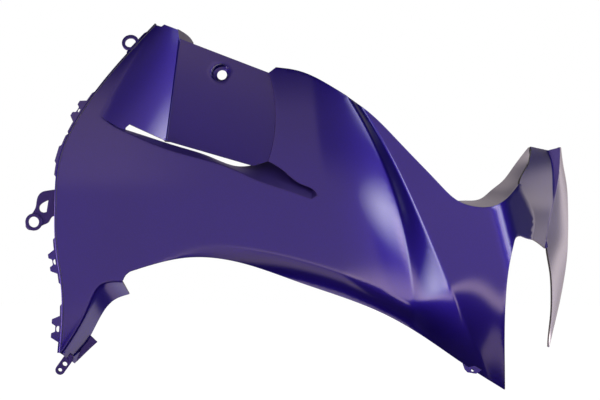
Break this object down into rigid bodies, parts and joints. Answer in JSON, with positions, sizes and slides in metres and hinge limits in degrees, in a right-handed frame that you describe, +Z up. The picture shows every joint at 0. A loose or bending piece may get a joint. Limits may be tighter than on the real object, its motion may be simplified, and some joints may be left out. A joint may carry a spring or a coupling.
{
  "type": "motorcycle fairing",
  "caption": "One-piece side fairing for a motorcycle: curved painted skin with a recessed air vent, a stepped front, a wrapped nose with a thin blade, and a rear flange with clips.",
  "frame": {"origin": "centre of the fixing bolt's seat in the vent floor", "axes": "+X forward, +Y inboard to the bike's centre plane, +Z up, as fitted to the bike"},
  "size_m": [0.7806, 0.3301, 0.5155],
  "materials": {
    "painted_skin": "metallic blue paint under clear coat"
  },
  "bodies": {
    "root": {"fairing_panel": "painted_skin"}
  },
  "joints": []
}
